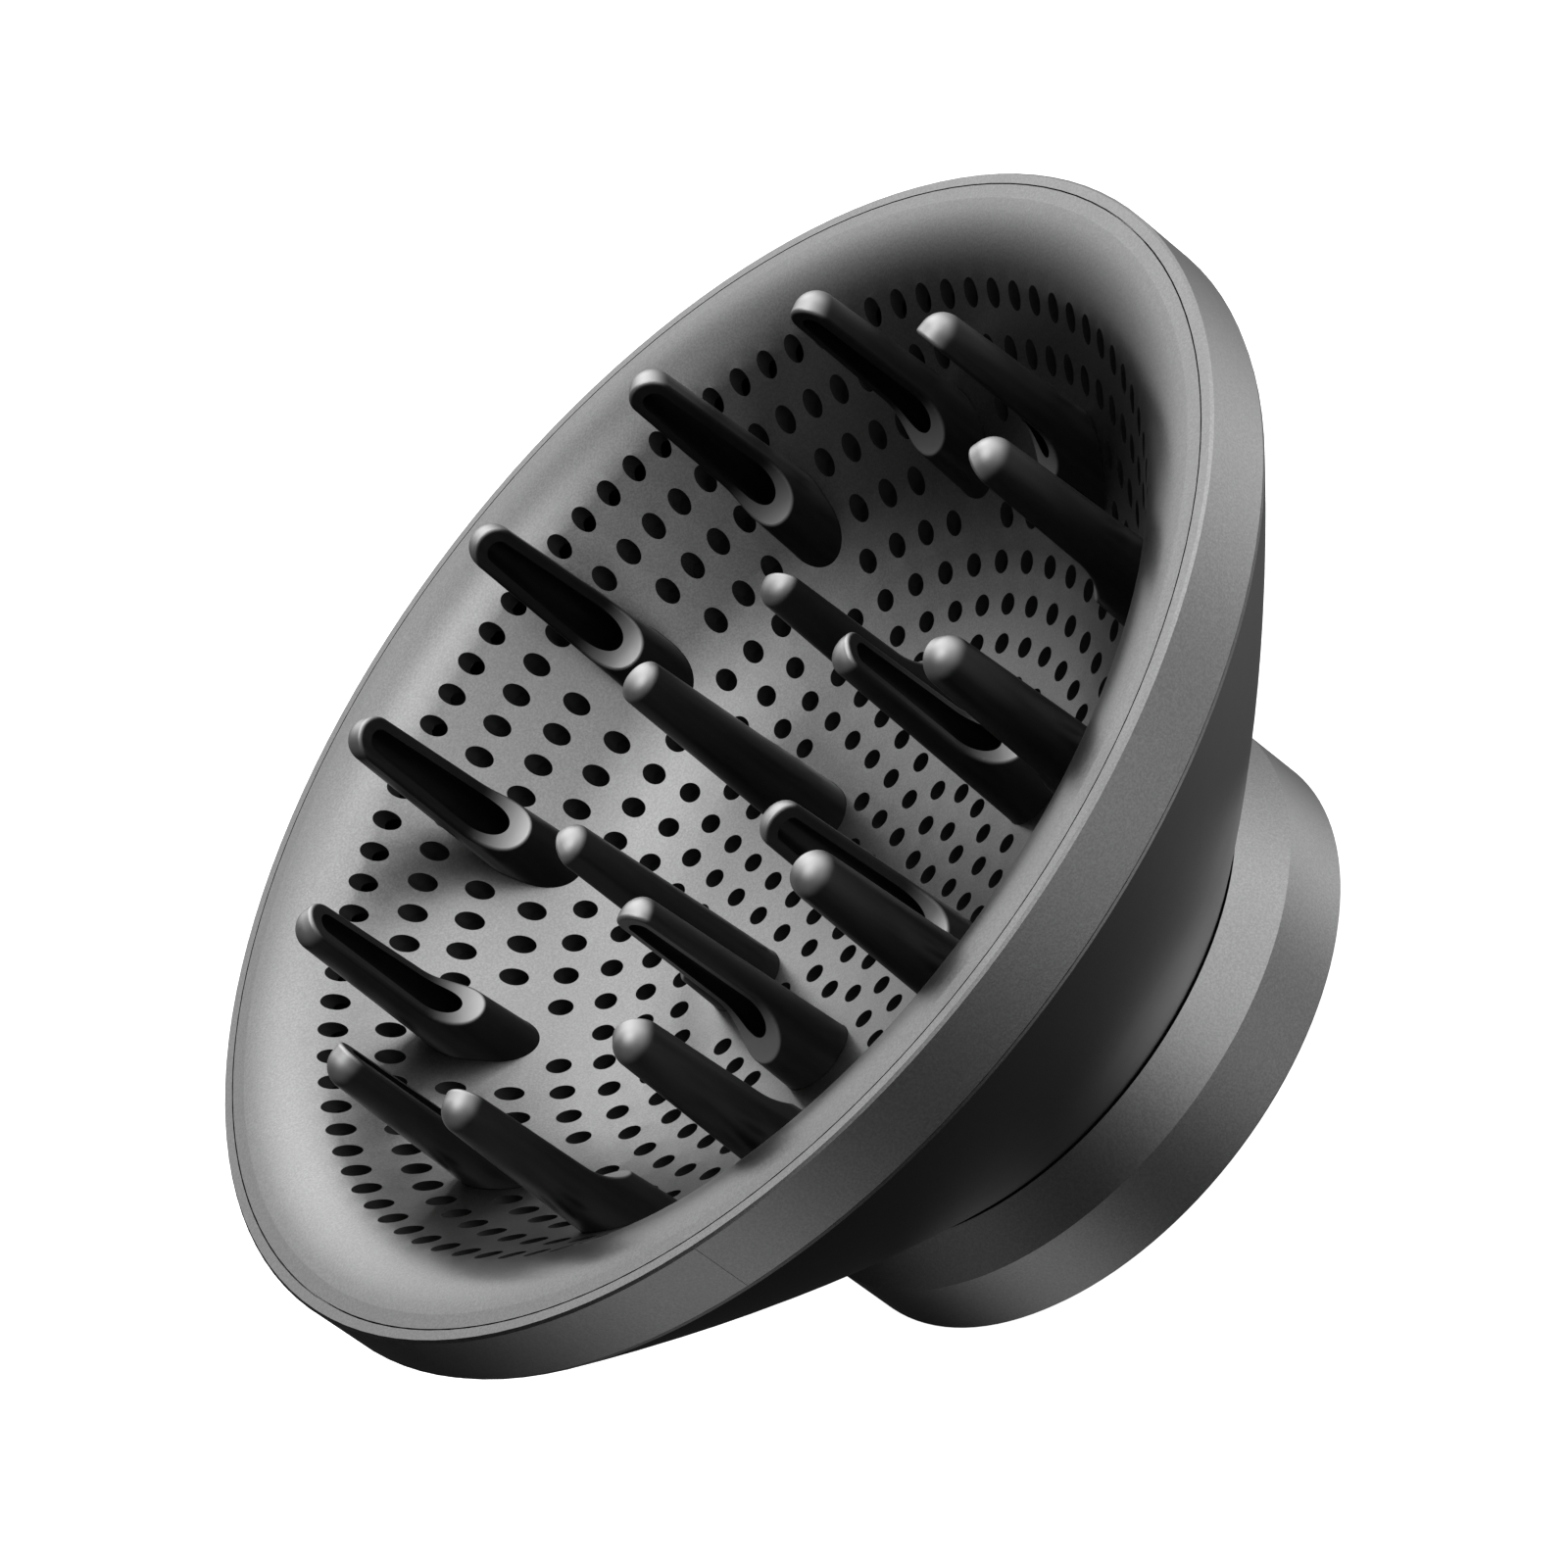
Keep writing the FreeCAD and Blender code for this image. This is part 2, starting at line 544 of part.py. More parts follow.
def air_deflector():
    """Shallow cone in the throat, held by ribs from a ring on the neck's inner seat."""
    apex, edge = DEFLECTOR_APEX_Z, DEFLECTOR_APEX_Z + DEFLECTOR_RISE
    nose = apex + DEFLECTOR_NOSE_RISE
    cone = turned([(0, apex), (DEFLECTOR_NOSE_R, nose), (DEFLECTOR_R, edge),
                   (DEFLECTOR_R, edge + DEFLECTOR_T), (DEFLECTOR_NOSE_R, nose + DEFLECTOR_T),
                   (0, apex + DEFLECTOR_T)])
    low, high = NECK_SEAT_Z + FIT, NECK_SEAT_Z + FIT + SPIDER_T
    ring = turned([(SPIDER_INNER_R, low), (SPIDER_OUTER_R, low), (SPIDER_OUTER_R, high),
                   (SPIDER_INNER_R, high)])
    rib_in, rib_out = DEFLECTOR_R - RIB_OVERLAP, SPIDER_INNER_R + RIB_FOOT_OVERLAP
    rib_low = edge - DEFLECTOR_T / 2
    outline = polyline([at(rib_in, rib_low), at(rib_out, low), at(rib_out, high),
                        at(rib_in, edge + DEFLECTOR_T), at(rib_in, rib_low)])
    rib_face = Part.Face(Part.Wire(outline))
    rib_face.translate(Vector(0, -RIB_T / 2, 0))
    rib = rib_face.extrude(Vector(0, RIB_T, 0))
    ribs = []
    for angle in around(RIB_COUNT, 90):
        copy = rib.copy()
        copy.rotate(ORIGIN, AXIS, angle)
        ribs.append(copy)
    body = cone.fuse([ring] + ribs)
    holes = rods_on_circle(SMALL_HOLE_D / 2, low - DRILL_OVERRUN, high + DRILL_OVERRUN,
                           SPIDER_SCREW_R, around(RIB_COUNT, DEFLECTOR_SCREW_ANGLE))
    return body.cut(holes).removeSplitter()


def screw(spot, shank_d, length, head_d, head_t, head_z, up):
    """Pan-head screw whose head meets its seat at head_z; up turns the shank upwards."""
    side = 1 if up else -1

    def span(start, end):
        """Low and high ends of a stretch measured from the seat towards the shank."""
        return sorted((head_z + side * start, head_z + side * end))

    shank = rod(shank_d / 2, *span(0, length), spot.x, spot.y)
    head = rod(head_d / 2, *span(-head_t, 0), spot.x, spot.y)
    low, high = span(-head_t - DRILL_OVERRUN, -head_t * (1 - CROSS_DEPTH))
    long, wide = head_d * CROSS_LENGTH, head_d * CROSS_WIDTH
    cross = [Part.makeBox(x, y, high - low, Vector(spot.x - x / 2, spot.y - y / 2, low))
             for x, y in ((long, wide), (wide, long))]
    return shank.fuse(head).cut(cross).removeSplitter()


def screw_group(spots, **sizes):
    return Part.makeCompound([screw(spot, **sizes) for spot in spots])


# ---- Sub-parts of the collar group ----------------------------------------------------------
def collar():
    inner_at_lip = COLLAR_TOP_R + (COLLAR_R - COLLAR_TOP_R) * (
        (COLLAR_TOP_Z - COLLAR_LIP_Z) / (COLLAR_TOP_Z - COLLAR_SHOULDER_Z)) - COLLAR_WALL
    cone_foot_z = COLLAR_TOP_Z - (COLLAR_TOP_Z - COLLAR_SHOULDER_Z) * (
        (CARRIER_R + COLLAR_WALL - COLLAR_TOP_R) / (COLLAR_R - COLLAR_TOP_R))
    lip_r = SPIGOT_R + RUNNING_CLEARANCE
    return turned([
        (SOCKET_R + COLLAR_EDGE, 0), (COLLAR_R - COLLAR_EDGE, 0), (COLLAR_R, COLLAR_EDGE),
        (COLLAR_R, COLLAR_SHOULDER_Z), (COLLAR_TOP_R, COLLAR_TOP_Z), (lip_r, COLLAR_TOP_Z),
        (lip_r, COLLAR_LIP_Z), (inner_at_lip, COLLAR_LIP_Z), (CARRIER_R, cone_foot_z),
        (CARRIER_R, SOCKET_DEPTH), (SOCKET_R, SOCKET_DEPTH), (SOCKET_R, COLLAR_EDGE)])


def magnet_carrier():
    outer = CARRIER_R - FIT
    ring = turned([(CARRIER_INNER_R, SOCKET_DEPTH), (outer, SOCKET_DEPTH),
                   (outer, CARRIER_TOP_Z), (CARRIER_INNER_R, CARRIER_TOP_Z)])
    pockets = rods_on_circle(MAGNET_D / 2 + MAGNET_PLAY, CARRIER_TOP_Z - MAGNET_T - MAGNET_PLAY,
                             CARRIER_TOP_Z + 1, MAGNET_RING_R, around(MAGNET_COUNT))
    groove = turned([(GASKET_INNER_R, 0), (GASKET_INNER_R + GASKET_WIDTH, 0),
                     (GASKET_INNER_R + GASKET_WIDTH, SOCKET_DEPTH + GASKET_T - GASKET_PROUD),
                     (GASKET_INNER_R, SOCKET_DEPTH + GASKET_T - GASKET_PROUD)])
    return ring.cut(pockets).cut(groove)


def nose_gasket():
    low = SOCKET_DEPTH - GASKET_PROUD
    inner, outer = GASKET_INNER_R + FIT, GASKET_INNER_R + GASKET_WIDTH - FIT
    return turned([(inner, low), (outer, low), (outer, low + GASKET_T), (inner, low + GASKET_T)])


def pole_ring():
    inner, outer = CARRIER_INNER_R + POLE_RING_PLAY, CARRIER_R - POLE_RING_PLAY
    high = CARRIER_TOP_Z + POLE_RING_T
    return turned([(inner, CARRIER_TOP_Z), (outer, CARRIER_TOP_Z), (outer, high), (inner, high)])


def retaining_ring():
    low = SPIGOT_END_Z - RETAINER_T
    ring = turned([(THROAT_R, low), (RETAINER_R, low), (RETAINER_R, SPIGOT_END_Z),
                   (THROAT_R, SPIGOT_END_Z)])
    angles = around(RETAINER_SCREWS, RETAINER_SCREW_ANGLE)
    through = rods_on_circle(SMALL_HOLE_D / 2, 0, RIM_Z, RETAINER_SCREW_R, angles)
    seats = rods_on_circle(SMALL_HEAD_D / 2 + SMALL_HEAD_PLAY, 0, retainer_seat_z(),
                           RETAINER_SCREW_R, angles)
    return ring.cut(through + seats)


def retainer_seat_z():
    """Height of the counterbore floor that the retaining screws' heads pull against."""
    return SPIGOT_END_Z - RETAINER_T + SMALL_HEAD_T + SMALL_HEAD_PLAY


def wear_washer():
    return turned([(WASHER_INNER_R, SPIGOT_END_Z), (WASHER_OUTER_R, SPIGOT_END_Z),
                   (WASHER_OUTER_R, SPIGOT_END_Z + WASHER_T),
                   (WASHER_INNER_R, SPIGOT_END_Z + WASHER_T)])


# ---- Build ----------------------------------------------------------------------------------
def write_prongs():
    foot_front, foot_back = GRILLE_T + FIT, GRILLE_T + FIT + FOOT_T
    over_foot, foot_layer = space_over_bowl(foot_back), bowl_layer(foot_front, foot_back)
    for name, row in PRONG_SETS.items():
        first = make_prong(row, over_foot, foot_layer)
        for number, angle in enumerate(around(row["count"]), start=1):
            prong = first.copy()
            prong.rotate(ORIGIN, AXIS, angle)
            write(f"{name}_prong_{number:02d}", prong)


def write_magnets():
    low = CARRIER_TOP_Z - MAGNET_T
    magnets = rods_on_circle(MAGNET_D / 2, low, CARRIER_TOP_Z, MAGNET_RING_R, around(MAGNET_COUNT))
    for number, magnet in enumerate(magnets, start=1):
        write(f"magnet_{number}", magnet)


def write_screws():
    write("backing_screws", screw_group(
        [polar(BOSS_R, a) for a in around(BOSS_COUNT, BOSS_START_ANGLE)], shank_d=PILOT_D,
        length=SCREW_LENGTH, head_d=SCREW_HEAD_D, head_t=SCREW_HEAD_T,
        head_z=BOSS_BOTTOM_Z - FIT - FLANGE_T, up=True))
    write("retaining_screws", screw_group(
        [polar(RETAINER_SCREW_R, a) for a in around(RETAINER_SCREWS, RETAINER_SCREW_ANGLE)],
        shank_d=SMALL_PILOT_D, length=RETAINER_SCREW_LENGTH, head_d=SMALL_HEAD_D,
        head_t=SMALL_HEAD_T, head_z=retainer_seat_z(), up=True))
    write("deflector_screws", screw_group(
        [polar(SPIDER_SCREW_R, a) for a in around(RIB_COUNT, DEFLECTOR_SCREW_ANGLE)],
        shank_d=SMALL_PILOT_D, length=DEFLECTOR_SCREW_LENGTH, head_d=SMALL_HEAD_D,
        head_t=SMALL_HEAD_T, head_z=NECK_SEAT_Z + FIT + SPIDER_T, up=False))


def main():
    os.makedirs("parts", exist_ok=True)
    spots = hole_spots()
    print("perforations", len(spots))
    write("collar", collar())
    write("magnet_carrier", magnet_carrier())
    write_magnets()
    write("pole_ring", pole_ring())
    write("nose_gasket", nose_gasket())
    write("wear_washer", wear_washer())
    write("retaining_ring", retaining_ring())
    write("rear_shell", rear_shell())
    write("air_deflector", air_deflector())
    write("rim_ring", rim_ring())
    write("rim_seal", rim_seal())
    write_screws()
    write_prongs()
    write("front_grille", front_grille(spots))
    write("backing_bowl", backing_bowl(spots))


main()
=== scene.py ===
"""Looks, light and camera for the hair-dryer diffuser.

Metres, +Z up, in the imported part's own frame: the diffuser stands on its collar, bowl upwards.
Every CAD node keeps its shape; this script gives each one its material.
"""
import json
import math

import bpy
from mathutils import Matrix, Vector


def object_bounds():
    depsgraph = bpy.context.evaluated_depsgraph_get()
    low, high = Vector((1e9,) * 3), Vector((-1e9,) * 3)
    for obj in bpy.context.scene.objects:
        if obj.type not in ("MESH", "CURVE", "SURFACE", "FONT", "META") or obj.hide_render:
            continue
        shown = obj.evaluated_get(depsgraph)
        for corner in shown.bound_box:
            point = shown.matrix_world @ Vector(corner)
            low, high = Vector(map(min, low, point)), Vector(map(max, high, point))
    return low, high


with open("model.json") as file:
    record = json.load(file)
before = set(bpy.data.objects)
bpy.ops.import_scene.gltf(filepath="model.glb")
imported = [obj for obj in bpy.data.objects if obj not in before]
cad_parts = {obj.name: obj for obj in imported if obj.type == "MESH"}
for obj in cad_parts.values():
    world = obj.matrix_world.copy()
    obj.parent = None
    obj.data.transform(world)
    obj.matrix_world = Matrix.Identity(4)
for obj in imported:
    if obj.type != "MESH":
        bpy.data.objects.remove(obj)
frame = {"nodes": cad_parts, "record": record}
cad_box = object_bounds()

MM = 0.001

# ---- Camera: where it looks, from how far, and how it is turned ------------------------------
CAMERA_AIM = Vector((0.0127, 0.0214, 0.0374))
CAMERA_DISTANCE = 0.8117
CAMERA_AZIMUTH = -26.0    # 0 looks along +Y
CAMERA_ELEVATION = 30.49
CAMERA_ROLL = 52.94       # clockwise, as the camera sees it
SENSOR = 36.0             # sensor and lens are in millimetres
LENS = 162.6
NEAR, FAR = 0.01, 20.0

# ---- Light tent and paper floor -------------------------------------------------------------
# Banks of soft light: azimuth from +X and elevation in degrees, tightness, radiance.
LIGHT_BANKS = [
    (-31, 21, 6.3, 1.60),    # key, from the side
    (38, 29, 7.0, 1.76),     # behind
    (-78, 81, 8.8, 1.72),    # overhead
    (-86, 0, 7.0, 1.30),     # front, level
    (-8, -37, 9.0, 1.10),    # under the key
    (10, 55, 9.0, 0.44),     # between the key and the overhead bank
    (170, -25, 9.4, 0.48),   # faint fill from the far side
]
BACKDROP = 1.0               # how bright the surroundings look to the camera
FLOOR_REACH = 4.0            # half the side of the paper
PAPER_TOOTH = 0.6 * MM
PAPER_LEVELS = (0.80, 0.84)
PAPER_ROUGHNESS = 0.9
PAPER_GLOW = 1.0
PAPER_PAINTED_SHADOW = (36 * MM, 38 * MM)   # painted shadow: the paper's glow is cut inside the collar's foot

# ---- Materials: sizes of their features in metres, levels of grey from 0 to 1 ---------------
FLAKE = 0.26 * MM            # metal flakes of the satin paint
FLAKE_CONTRAST = 0.11
FLAKE_HEIGHT = 0.005 * MM
SPARKLE = 0.30 * MM          # the few flakes that lie flat and shine
SPARKLE_SHARE = 0.12
CLOUD = 9 * MM               # slow unevenness of the sprayed coat
CLOUD_SHARE = 0.3
HANDLED = 1.8 * MM           # faint handling marks, which are a little duller
HANDLED_DULLNESS = 0.03
ORANGE_PEEL = 1.4 * MM
PEEL_HEIGHT = 0.006 * MM
PAINT_ROUGHNESS = 0.30
BARE_HOLE_LEVEL = 0.02       # dark moulding on the unpainted walls of the perforations
BARE_HOLE_DULLNESS = 0.2
BARE_HOLE_UPRIGHT = (0.03, 0.12)   # vertical share of the normal, from bare wall to painted face

SPARK_TEXTURE = 0.16 * MM    # spark-eroded texture of the mouldings
SPARK_HEIGHT = 0.018 * MM
MOULD_BLOOM = 5 * MM
MOULD_RUB = 2.2 * MM
MOULD_RUB_SHINE = 0.06

FLOW_MARKS = 1.2 * MM        # flow marks drawn out along a prong
FLOW_STRETCH = (1, 1, 0.12)
PRONG_SPECULAR = 0.32
PRONG_LEVELS = (0.007, 0.011)
PRONG_ROUGHNESS = (0.34, 0.40)
PRONG_SPARK_HEIGHT = 0.006 * MM
# Painted highlight on the prongs: their upward faces get a lighter, more metallic colour.
PRONG_HIGHLIGHT_UPWARD = (0.08, 1.0)     # upward share of the normal, where the painted highlight starts and is full
PRONG_HIGHLIGHT_LEVEL = 0.5
PRONG_HIGHLIGHT_METALLIC = 0.9

RUBBER_SKIN = 0.3 * MM
RUBBER_SKIN_HEIGHT = 0.02 * MM
RUBBER_BLOOM = 2.5 * MM
RUBBER_LEVELS = (0.028, 0.075)     # clean and dusty
RUBBER_ROUGHNESS = (0.62, 0.80)

WAVE_TO_PITCH = 20           # a wave texture of scale 1 has rings a twentieth of a unit apart
WASHER_TURNING = 0.18 * MM
WASHER_STAIN = 3 * MM
WASHER_ROUGHNESS = (0.36, 0.50)
STEEL_TURNING = 0.12 * MM
STEEL_PITS = 0.25 * MM
STEEL_MARKS = 2 * MM
STEEL_MARKS_DULLNESS = 0.15


# ---- Node helpers ---------------------------------------------------------------------------
class Nodes:
    """Short calls that add nodes to one tree and link them."""

    def __init__(self, tree):
        self.tree = tree

    def node(self, kind, settings=(), **inputs):
        """A new node; an input is a value or the output socket that feeds it.

        An underscore in an input's name stands for the space in the socket's name."""
        made = self.tree.nodes.new(kind)
        for name, value in dict(settings).items():
            setattr(made, name, value)
        for name, value in inputs.items():
            self.feed(made.inputs[name.replace("_", " ")], value)
        return made

    def feed(self, socket, value):
        if isinstance(value, bpy.types.NodeSocket):
            self.tree.links.new(value, socket)
        else:
            socket.default_value = value

    def math(self, operation, *inputs):
        made = self.node("ShaderNodeMath", {"operation": operation})
        for socket, value in zip(made.inputs, inputs):
            self.feed(socket, value)
        return made.outputs[0]

    def add(self, first, second):
        return self.math("ADD", first, second)

    def times(self, first, second):
        return self.math("MULTIPLY", first, second)


class Material(Nodes):
    """A Principled material, built feature by feature."""

    def __init__(self, name):
        self.material = bpy.data.materials.new(name)
        self.material.use_nodes = True
        super().__init__(self.material.node_tree)
        self.shader = self.tree.nodes["Principled BSDF"]
        self.place = self.node("ShaderNodeTexCoord").outputs["Object"]

    def noise(self, size, detail=2.0, roughness=0.5, stretch=None):
        """Noise with features about size metres wide, from 0 to 1."""
        place = self.place
        if stretch:
            place = self.node("ShaderNodeMapping", Vector=place, Scale=stretch).outputs[0]
        made = self.node("ShaderNodeTexNoise", Vector=place, Scale=1 / size, Detail=detail,
                         Roughness=roughness)
        return made.outputs["Fac"]

    def ramp(self, value, span=(0, 1), to=(0, 1), eased=False):
        """value from the span to the range to, held at its ends."""
        kind = "SMOOTHSTEP" if eased else "LINEAR"
        made = self.node("ShaderNodeMapRange", {"interpolation_type": kind}, Value=value)
        for name, number in zip(("From Min", "From Max", "To Min", "To Max"), (*span, *to)):
            made.inputs[name].default_value = number
        return made.outputs[0]

    def mix(self, share, first, second):
        """Colour mix, from first at share 0 to second at share 1."""
        made = self.node("ShaderNodeMix", {"data_type": "RGBA"})
        for index, value in ((0, share), (6, first), (7, second)):
            self.feed(made.inputs[index], value)
        return made.outputs[2]

    def normal_z(self):
        """The upward share of the surface's normal, from -1 to 1."""
        normal = self.node("ShaderNodeTexCoord").outputs["Normal"]
        return self.node("ShaderNodeSeparateXYZ", Vector=normal).outputs["Z"]

    def turning(self, pitch):
        """Concentric tool marks about the part's axis, from 0 to 1."""
        made = self.node("ShaderNodeTexWave", {"wave_type": "RINGS", "rings_direction": "Z"},
                         Vector=self.place, Scale=1 / (WAVE_TO_PITCH * pitch), Distortion=0.6,
                         Detail=2.0, Detail_Scale=1.5)
        return made.outputs["Fac"]

    def bump(self, height, depth, strength=0.5, normal=None):
        """Normal from a height of 0 to 1 that stands for depth metres."""
        made = self.node("ShaderNodeBump", Height=height, Strength=strength, Distance=depth)
        if normal:
            self.feed(made.inputs["Normal"], normal)
        return made.outputs[0]

    def finish(self, colour, roughness, normal, metallic=0.0):
        for name, value in (("Base Color", colour), ("Roughness", roughness),
                            ("Metallic", metallic), ("Normal", normal)):
            self.feed(self.shader.inputs[name], value)
        return self.material


def grey(level, warmth=0.0):
    return (level * (1 + warmth), level, level * (1 - warmth), 1.0)


def around(middle, spread):
    return (middle - spread, middle + spread)


# ---- Materials ------------------------------------------------------------------------------
def satin_paint(name, level, bare_holes=False):
    """Satin metallic grey paint: fine flakes, a faint orange peel and slow unevenness.

    With bare_holes, the upright walls of the perforations show the dark moulding instead."""
    m = Material(name)
    flakes = m.ramp(m.noise(FLAKE, detail=1.0), span=(0.34, 0.66))
    sparkle = m.ramp(m.noise(SPARKLE, detail=0.0), span=(0.68, 0.76))
    cloud = m.ramp(m.noise(CLOUD, detail=3.0), span=(0.3, 0.7))
    handled = m.ramp(m.noise(HANDLED, detail=5.0, roughness=0.7), span=(0.6, 0.8))
    dark_flake, light_flake = around(level, level * FLAKE_CONTRAST)
    shade = m.mix(flakes, grey(dark_flake), grey(light_flake, warmth=-0.004))
    shade = m.mix(m.ramp(cloud, to=(0.0, CLOUD_SHARE)), shade, grey(level * 0.93))
    shade = m.mix(m.times(sparkle, SPARKLE_SHARE), shade, grey(level * 1.8))
    rough = m.ramp(flakes, to=around(PAINT_ROUGHNESS, 0.015))
    rough = m.add(rough, m.ramp(cloud, to=around(0, 0.01)))
    rough = m.add(rough, m.times(handled, HANDLED_DULLNESS))
    peel = m.bump(m.noise(ORANGE_PEEL), PEEL_HEIGHT)
    grain = m.bump(flakes, FLAKE_HEIGHT, normal=peel)
    painted = 1.0
    if bare_holes:
        painted = m.ramp(m.math("ABSOLUTE", m.normal_z()), span=BARE_HOLE_UPRIGHT)
        shade = m.mix(painted, grey(BARE_HOLE_LEVEL), shade)
        rough = m.add(rough, m.ramp(painted, to=(BARE_HOLE_DULLNESS, 0.0)))
    return m.finish(shade, rough, grain, metallic=painted)


def moulded_black(name, level, roughness):
    """Black moulded plastic: fine spark-eroded texture, slight bloom and rubbed patches."""
    m = Material(name)
    spark = m.noise(SPARK_TEXTURE, detail=3.0, roughness=0.6)
    bloom = m.ramp(m.noise(MOULD_BLOOM, detail=4.0), span=(0.35, 0.75))
    rub_wear_and_painted_highlight = m.ramp(m.noise(MOULD_RUB, detail=5.0, roughness=0.65), span=(0.6, 0.78))
    shade = m.mix(m.ramp(spark, span=(0.3, 0.7)), grey(level * 0.82), grey(level * 1.18))
    shade = m.mix(m.times(bloom, 0.25), shade, grey(level * 1.5))
    rough = m.ramp(bloom, to=around(roughness, 0.04))
    rough = m.add(rough, m.times(rub_wear_and_painted_highlight, -MOULD_RUB_SHINE))
    return m.finish(shade, rough, m.bump(spark, SPARK_HEIGHT))


def prong_nylon(name):
    """Black nylon with a painted highlight on its domed tips and other upward faces, which are
    made lighter and more metallic.
    """
    m = Material(name)
    m.shader.inputs["Specular IOR Level"].default_value = PRONG_SPECULAR
    spark = m.noise(SPARK_TEXTURE, detail=3.0, roughness=0.6)
    flow = m.ramp(m.noise(FLOW_MARKS, detail=3.0, stretch=FLOW_STRETCH), span=(0.35, 0.65))
    # painted highlight: the more a face points up, the lighter and more metallic it is made
    rub_wear_and_painted_highlight = m.ramp(m.normal_z(), span=PRONG_HIGHLIGHT_UPWARD, eased=True)
    dark, light = PRONG_LEVELS
    shade = m.mix(rub_wear_and_painted_highlight, m.mix(flow, grey(dark), grey(light)), grey(PRONG_HIGHLIGHT_LEVEL))
    rough = m.ramp(flow, to=PRONG_ROUGHNESS)
    rough = m.add(rough, m.ramp(spark, span=(0.3, 0.7), to=around(0, 0.02)))
    metallic = m.ramp(rub_wear_and_painted_highlight, to=(0.0, PRONG_HIGHLIGHT_METALLIC))
    return m.finish(shade, rough, m.bump(spark, PRONG_SPARK_HEIGHT), metallic)


def elastomer(name):
    """Black silicone rubber: dull, with a faint dusty bloom."""
    m = Material(name)
    skin = m.noise(RUBBER_SKIN, detail=4.0)
    bloom = m.ramp(m.noise(RUBBER_BLOOM, detail=5.0, roughness=0.7), span=(0.45, 0.75))
    clean, dusty = RUBBER_LEVELS
    shade = m.mix(m.times(bloom, 0.5), grey(clean), grey(dusty))
    rough = m.ramp(bloom, to=RUBBER_ROUGHNESS)
    return m.finish(shade, rough, m.bump(skin, RUBBER_SKIN_HEIGHT))


def slip_washer(name):
    """Off-white acetal with fine turning marks and a light burnish."""
    m = Material(name)
    ring = m.turning(WASHER_TURNING)
    stain = m.ramp(m.noise(WASHER_STAIN, detail=4.0), span=(0.45, 0.8))
    shade = m.mix(m.times(stain, 0.35), grey(0.74, warmth=0.03), grey(0.55, warmth=0.06))
    rough = m.ramp(ring, to=WASHER_ROUGHNESS)
    return m.finish(shade, rough, m.bump(ring, 0.006 * MM, strength=0.6))


def turned_metal(name, level, roughness, warmth=0.0):
    """Plated steel with tool marks, small pits and handling marks."""
    m = Material(name)
    ring = m.turning(STEEL_TURNING)
    pits = m.ramp(m.noise(STEEL_PITS, detail=3.0), span=(0.62, 0.72))
    marks = m.ramp(m.noise(STEEL_MARKS, detail=5.0, roughness=0.7), span=(0.5, 0.8))
    shade = m.mix(ring, grey(level * 0.92, warmth), grey(level * 1.06, warmth))
    shade = m.mix(m.times(pits, 0.4), shade, grey(level * 0.55, warmth))
    rough = m.ramp(ring, to=around(roughness, 0.05))
    rough = m.add(rough, m.times(marks, STEEL_MARKS_DULLNESS))
    return m.finish(shade, rough, m.bump(ring, 0.004 * MM), metallic=1.0)


def floor_paper(name):
    """Pale seamless paper with a faint tooth, glowing evenly except for a painted shadow under the
    part.
    """
    m = Material(name)
    tooth = m.noise(PAPER_TOOTH, detail=4.0)
    dark, light = PAPER_LEVELS
    shade = m.mix(m.ramp(tooth, span=(0.3, 0.7)), grey(dark), grey(light))
    from_axis = m.node("ShaderNodeVectorMath", {"operation": "LENGTH"}, Vector=m.place)
    # painted shadow: the glow fades to nothing inside the collar's foot
    glow = m.ramp(from_axis.outputs["Value"], span=PAPER_PAINTED_SHADOW, to=(0.0, PAPER_GLOW))
    m.shader.inputs["Emission Color"].default_value = grey(1.0)
    m.feed(m.shader.inputs["Emission Strength"], glow)
    return m.finish(shade, PAPER_ROUGHNESS, m.bump(tooth, 0.02 * MM, strength=0.3))


# What each of the record's material slots is made of.
SLOTS = {
    "grille_satin": (satin_paint, {"level": 0.30, "bare_holes": True}),
    "rim_satin": (satin_paint, {"level": 0.32}),
    # Partly painted shade: the shell's grey is darker than the other paints, partly its own darker
    # tone and partly standing in for the shade on its downward faces.
    "shell_satin": (satin_paint, {"level": 0.14}),
    "collar_satin": (satin_paint, {"level": 0.30}),
    "prong_black": (prong_nylon, {}),
    "black_moulding": (moulded_black, {"level": 0.02, "roughness": 0.5}),
    "elastomer": (elastomer, {}),
    "slip_washer": (slip_washer, {}),
    "plated_steel": (turned_metal, {"level": 0.55, "roughness": 0.3}),
    "screw_steel": (turned_metal, {"level": 0.42, "roughness": 0.34, "warmth": 0.02}),
    "magnet_nickel": (turned_metal, {"level": 0.66, "roughness": 0.18, "warmth": 0.02}),
}


def paint_nodes():
    """Give every CAD node the material of its slot in the record."""
    materials = {slot: make(slot, **look) for slot, (make, look) in SLOTS.items()}
    for part in frame["record"]["subparts"]:
        mesh = frame["nodes"][part["node"]].data
        mesh.materials.clear()
        mesh.materials.append(materials[part["material_slot"]])


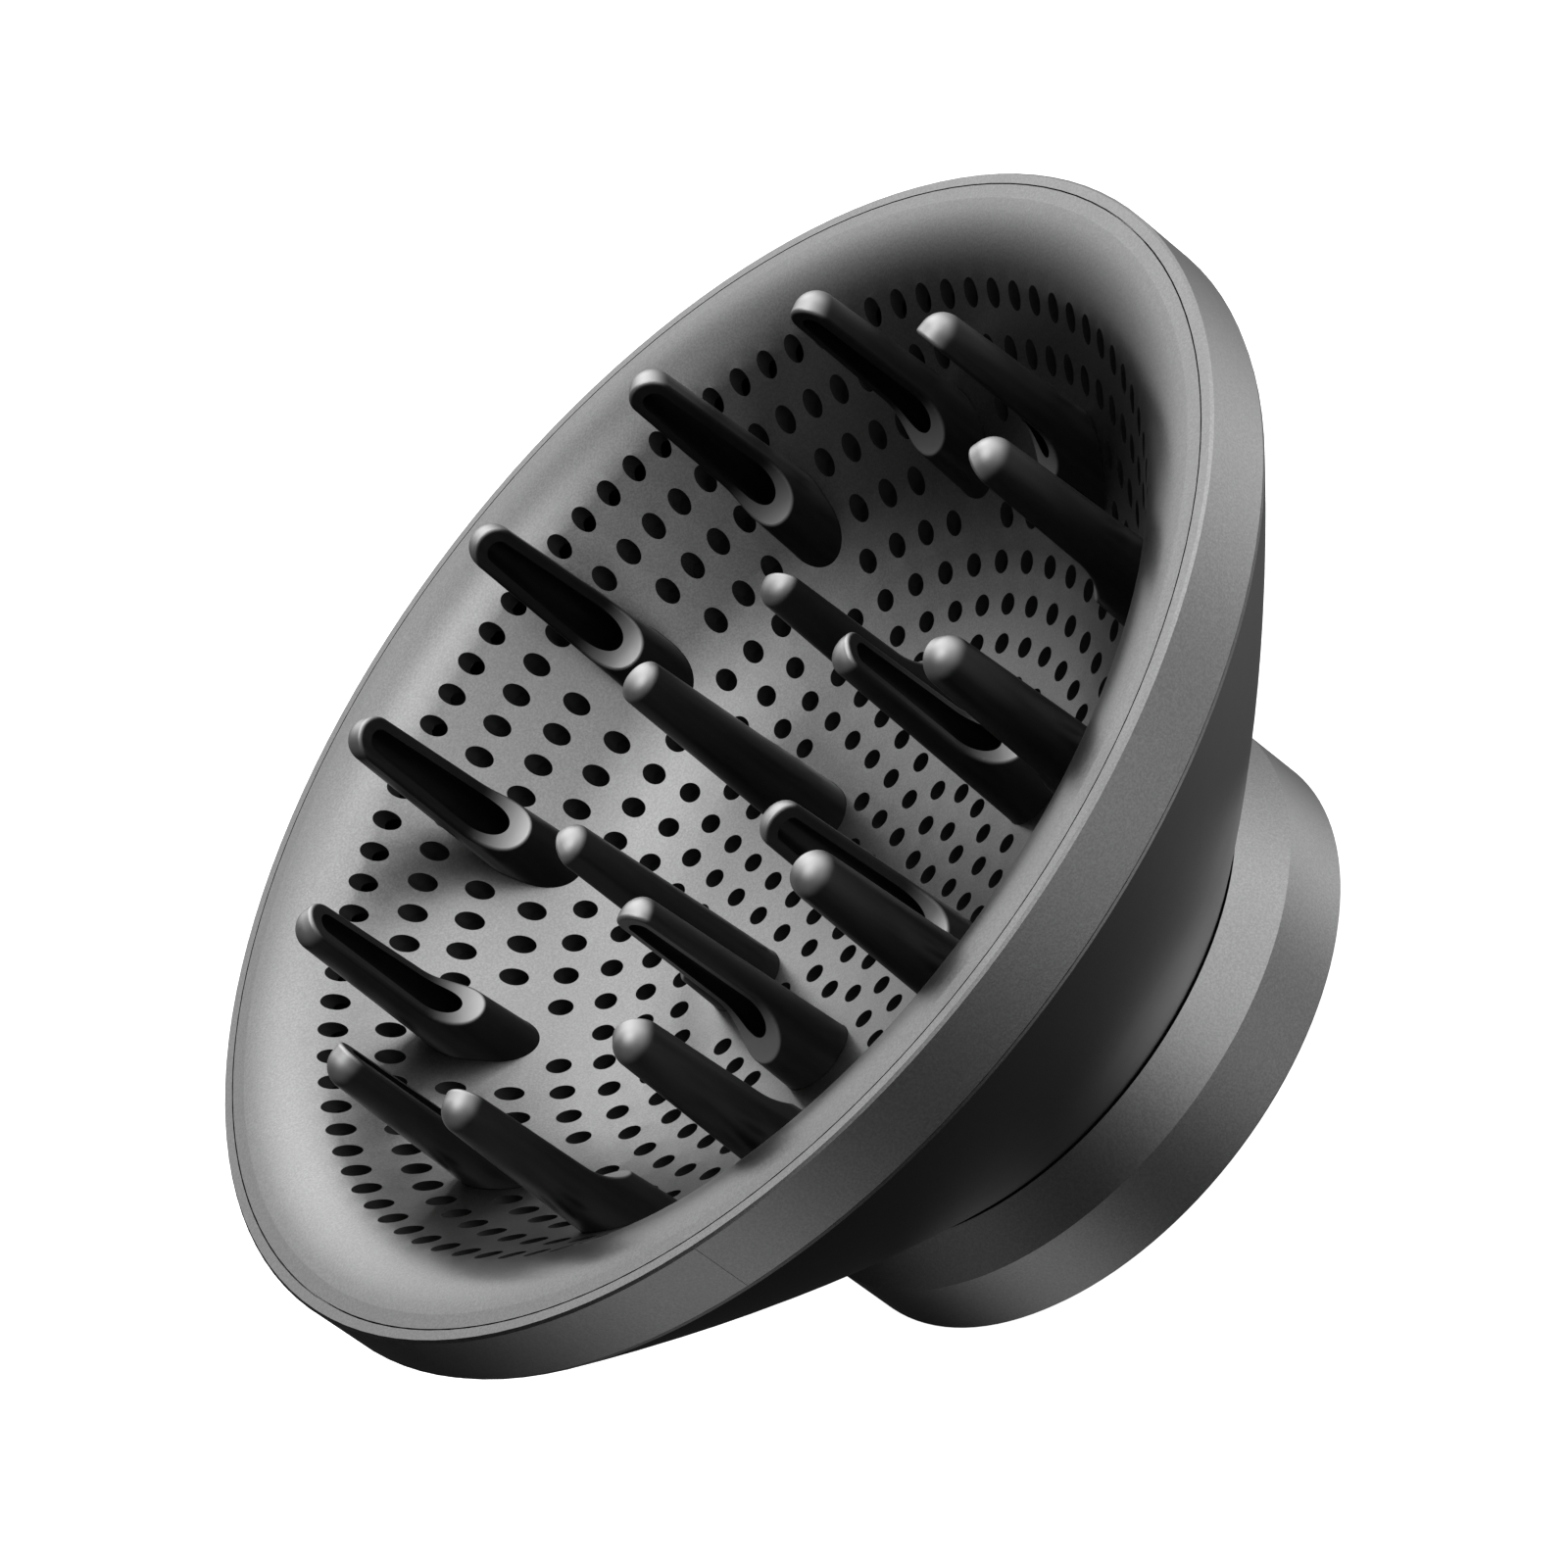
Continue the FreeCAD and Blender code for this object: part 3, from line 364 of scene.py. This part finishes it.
# ---- Stage, light and camera ----------------------------------------------------------------
def add_floor():
    """A square of paper at the part's foot, unseen by shadows and reflections."""
    reach, low = FLOOR_REACH, cad_box[0].z
    corners = [(-reach, -reach, low), (reach, -reach, low), (reach, reach, low),
               (-reach, reach, low)]
    mesh = bpy.data.meshes.new("floor")
    mesh.from_pydata(corners, [], [(0, 1, 2, 3)])
    mesh.materials.append(floor_paper("floor_paper"))
    floor = bpy.data.objects.new("floor", mesh)
    floor.visible_diffuse = False
    floor.visible_glossy = False
    floor.visible_shadow = False
    bpy.context.scene.collection.objects.link(floor)


def towards(azimuth, elevation):
    """Unit vector at an azimuth from +X and an elevation, in degrees."""
    a, e = math.radians(azimuth), math.radians(elevation)
    return Vector((math.cos(a) * math.cos(e), math.sin(a) * math.cos(e), math.sin(e)))


def add_light():
    """A light tent: each bank glows round its direction and fades smoothly away from it."""
    world = bpy.data.worlds.new("light_tent")
    bpy.context.scene.world = world
    world.use_nodes = True
    w = Nodes(world.node_tree)
    looked_at = w.node("ShaderNodeTexCoord").outputs["Generated"]
    total = 0.0
    for azimuth, elevation, tightness, radiance in LIGHT_BANKS:
        dot = w.node("ShaderNodeVectorMath", {"operation": "DOT_PRODUCT"}, Vector=looked_at)
        dot.inputs[1].default_value = towards(azimuth, elevation)
        away = w.math("SUBTRACT", dot.outputs["Value"], 1.0)
        glow = w.math("EXPONENT", w.times(away, tightness))
        total = w.add(w.times(glow, radiance), total)
    seen = w.node("ShaderNodeLightPath").outputs["Is Camera Ray"]
    background = w.tree.nodes["Background"]
    background.inputs["Color"].default_value = grey(1.0)
    w.feed(background.inputs["Strength"], w.math("MAXIMUM", total, w.times(seen, BACKDROP)))


def add_camera():
    """The camera aims from its azimuth and elevation, then rolls about its own line of sight."""
    back = towards(CAMERA_AZIMUTH - 90, CAMERA_ELEVATION)
    data = bpy.data.cameras.new("camera")
    data.sensor_width = SENSOR
    data.lens = LENS
    data.clip_start = NEAR
    data.clip_end = FAR
    camera = bpy.data.objects.new("camera", data)
    bpy.context.scene.collection.objects.link(camera)
    level = (-back).to_track_quat("-Z", "Y").to_matrix()
    roll = Matrix.Rotation(math.radians(-CAMERA_ROLL), 3, "Z")
    place = Matrix.Translation(CAMERA_AIM + back * CAMERA_DISTANCE)
    camera.matrix_world = place @ (level @ roll).to_4x4()
    bpy.context.scene.camera = camera


paint_nodes()
add_floor()
add_light()
add_camera()
bpy.context.scene.view_settings.view_transform = "Standard"
